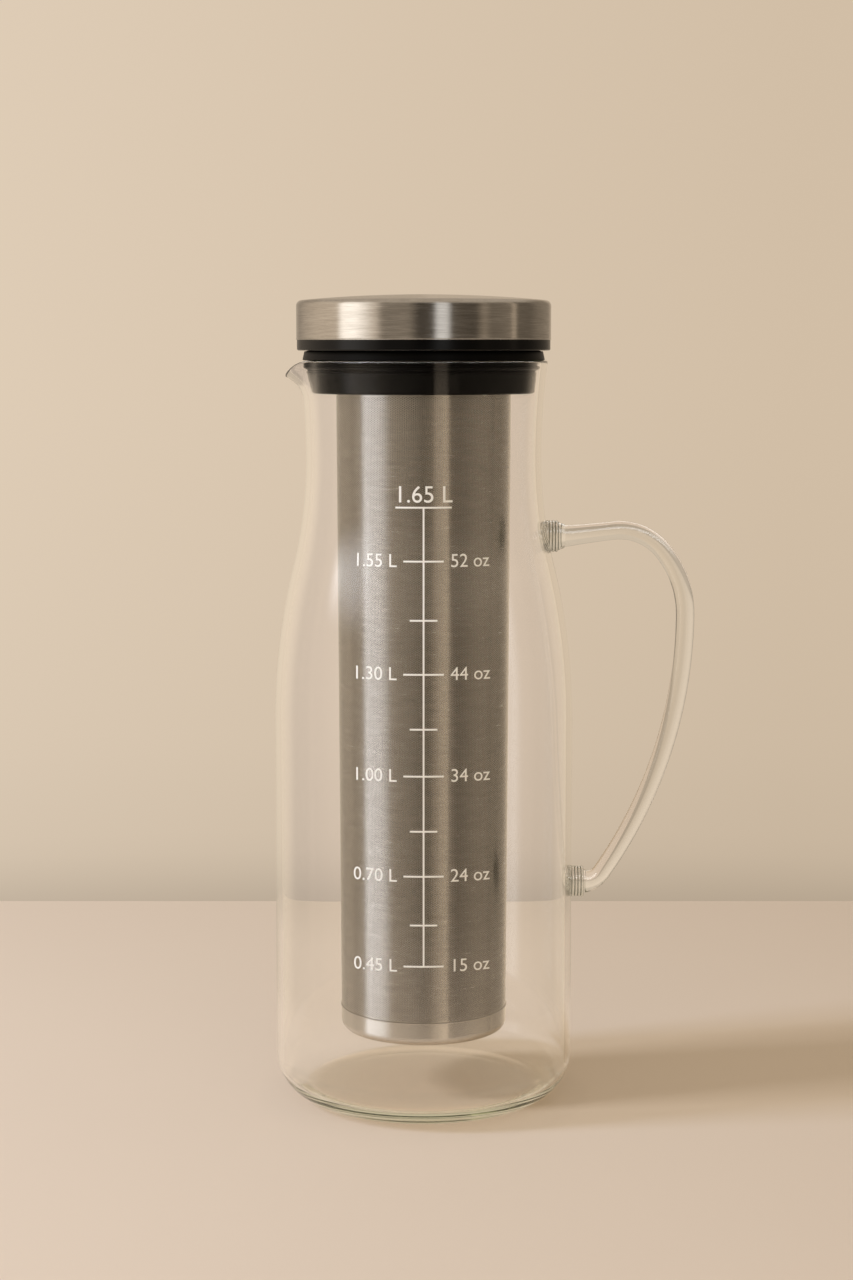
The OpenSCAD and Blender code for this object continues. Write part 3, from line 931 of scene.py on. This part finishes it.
room_levels = [
    (-180, 0.5), (-170, 0.42), (-150, 0.3), (-130, 0.48), (-112, 0.6), (-90, 0.62), (-62, 0.55),
    (-44, 0.55), (-37, 0.22), (-14, 0.25), (-4, 0.05), (7, 0.07), (27, 0.1), (48, 0.07), (56, 0.28),
    (63, 0.15), (85, 0.19), (89, 0.55), (93, 0.13), (112, 0.13), (125, 0.2), (152, 0.26), (165, 0.4),
    (180, 0.6),
]
window_levels = [
    (-180, 0), (-84, 0), (-78, 1), (-64, 1), (-46, 0.15), (-38, 0), (9, 0), (12, 0.8), (21, 0.8),
    (25, 0), (180, 0),
]
tube_levels = [
    (-180, 0.42), (-160, 0.33), (-140, 0.29), (-118, 0.32), (-107, 0.25), (-99, 0.3), (-48, 0.28),
    (-36, 0.25), (-16, 0.2), (0, 0.13), (10, 0.14), (14, 0.26), (20, 0.27), (26, 0.36), (32, 0.45),
    (35, 0.13), (48, 0.12), (76, 0.19), (96, 0.2), (102, 0.13), (108, 0.21), (115, 0.16), (138, 0.22),
    (152, 0.34), (165, 0.44), (180, 0.46),
]
tube_window = [
    (-180, 0), (-93, 0), (-89, 0.12), (-82, 0.72), (-75, 0.54), (-62, 0.5), (-54, 0.32), (-46, 0.04),
    (-40, 0), (180, 0),
]
tube_gain = 1.8
through_tint = (1.1, 1.09, 1.15)
lamp_strength = 7
lamp_behind = 0.3
lamp_foot = (0.38, 0.52)
lamp_top = (0.68, 0.85)
pane_strength = 9
pane_foot = (0.12, 0.3)


def build_room():
    """The world's nodes: the wall, the room that steel shows, the lamps and the window that glint in
    glass, and an even light for all else. The world isn't sampled as a lamp."""
    world = bpy.data.worlds.new("room")
    world.cycles.sampling_method = "NONE"
    world.use_nodes = True
    world.node_tree.nodes.clear()
    bpy.context.scene.world = world
    wire = Wire(world.node_tree)
    way = wire.node("ShaderNodeSeparateXYZ", {}, {0: wire.node("ShaderNodeTexCoord", output="Generated")})
    height = way.out("Z")
    turn = wire.math("ARCTAN2", way.out("X"), 0 - way.out("Y")) / full_turn + 0.5
    path = wire.node("ShaderNodeLightPath")

    def by_turn(levels, left, right):
        """Light of each level, tinted one way on the left and another on the right."""
        stops = []
        for azimuth, level in levels:
            share = min(1, max(0, 0.5 + warm_turn * math.sin(math.radians(azimuth))))
            colour = tuple(level * (a + (b - a) * share) for a, b in zip(left, right))
            stops.append(((azimuth + 180) / 360, colour))
        return wire.node("ShaderNodeValToRGB", {"stops": stops}, {0: turn})

    def scaled(colour, factor):
        return wire.node("ShaderNodeVectorMath", {"operation": "SCALE"}, {0: colour, "Scale": factor})

    def tinted(colour, tint):
        return wire.node("ShaderNodeVectorMath", {"operation": "MULTIPLY"}, {0: colour, 1: tint})

    def joined(first, second):
        return wire.node("ShaderNodeVectorMath", {"operation": "ADD"}, {0: first, 1: second})

    fade_stops = [((z + 1) / 2, (level, level, level)) for z, level in wall_fade]
    fade = wire.node("ShaderNodeValToRGB", {"stops": fade_stops}, {0: (height + 1) / 2})
    entered = met(path, "Transmission", one_face)
    mirrored = met(path, "Glossy", 1)
    past_walls = met(path, "Transmission", two_walls)
    off_steel = mirrored * past_walls
    wall = scaled(by_turn(wall_levels, warm_left, warm_right), fade)
    wall = (past_walls * (1 - mirrored)).blend(wall, tinted(wall, through_tint))
    wall = (height.rise(*overhead_edge) * entered).blend(wall, (*overhead, 1))
    window = by_turn(window_levels, clear_light, clear_light)
    room = joined(by_turn(room_levels, warm_left, warm_right), window)
    room = height.rise(*ceiling_edge).blend(room, (*ceiling, 1))
    pane = by_turn(tube_window, sky_light, sky_light)
    tube_room = scaled(joined(by_turn(tube_levels, warm_left, warm_right), pane), tube_gain)
    tube_room = height.rise(*under_lid_edge).blend(tube_room, (*under_lid, 1))
    room = off_steel.blend(room, tube_room)
    in_glass = path.out("Is Singular Ray") * (1 - off_steel)
    straight = wire.math("MAXIMUM", path.out("Is Camera Ray"), in_glass)
    off_glass = in_glass * mirrored * (1 - entered)
    front = wire.node("ShaderNodeMapRange", {}, {"Value": 0 - way.out("Y"), "To Min": lamp_behind})
    lamp_band = height.rise(*lamp_foot) * (1 - height.rise(*lamp_top))
    lamps = scaled(clear_light, lamp_band * front * lamp_strength * off_glass)
    pane_glint = scaled(pane, height.rise(*pane_foot) * off_glass * pane_strength)
    seen = joined(straight.blend(room, wall), joined(lamps, pane_glint))
    seen = met(path, "Diffuse", 1).blend(seen, (*even_light, 1))
    light = wire.node("ShaderNodeBackground", {}, {"Color": seen, "Strength": 1})
    wire.node("ShaderNodeOutputWorld", {}, {"Surface": light})


build_room()


# Lamps. Daylight from the left, which throws the pitcher's shadow over the floor, and a soft fill from
# above the camera. They only light: what shows in the steel and the glass is the room.
lamp_aim = Vector((0, 0, 0.05))
daylight_place = (-1.2125, -0.303, 0.95)
daylight_size = 0.26
daylight_power = 21
daylight_tint = (0.73, 0.82, 1)
fill_place = (0, -0.65, 0.85)
fill_size = 0.9
fill_power = 1.1
fill_tint = (1, 0.97, 0.92)


def soft_lamp(name, place, size, power, colour):
    """A square area lamp that faces the pitcher's foot."""
    data = bpy.data.lights.new(name, "AREA")
    data.size = size
    data.energy = power
    data.color = colour
    lamp = bpy.data.objects.new(name, data)
    lamp.location = place
    lamp.rotation_euler = (lamp_aim - lamp.location).to_track_quat("-Z", "Y").to_euler()
    lamp.visible_camera = False
    lamp.visible_glossy = False
    lamp.visible_transmission = False
    bpy.context.scene.collection.objects.link(lamp)


soft_lamp("daylight", daylight_place, daylight_size, daylight_power, daylight_tint)
soft_lamp("fill", fill_place, fill_size, fill_power, fill_tint)


# Camera. At the photograph's viewing angle, a little below the lid's top and looking slightly down.
# Light turns many times inside thick glass before it gets out, and its glints aren't blurred.
photo_h = 1280
focal_px = 2470
sensor_w = 36
camera_place = (0.001, -0.88, 0.272)
camera_pitch = math.radians(6.85)
glass_turns = 64
camera_data = bpy.data.cameras.new("camera")
camera_data.sensor_width = sensor_w
camera_data.lens = focal_px / photo_h * sensor_w
camera = bpy.data.objects.new("camera", camera_data)
camera.location = camera_place
camera.rotation_euler = (quarter_turn - camera_pitch, 0, 0)
bpy.context.scene.collection.objects.link(camera)
bpy.context.scene.camera = camera
bpy.context.scene.view_settings.view_transform = "Standard"
cycles = bpy.context.scene.cycles
cycles.max_bounces = glass_turns
cycles.glossy_bounces = glass_turns
cycles.transmission_bounces = glass_turns
cycles.transparent_max_bounces = glass_turns
cycles.blur_glossy = 0
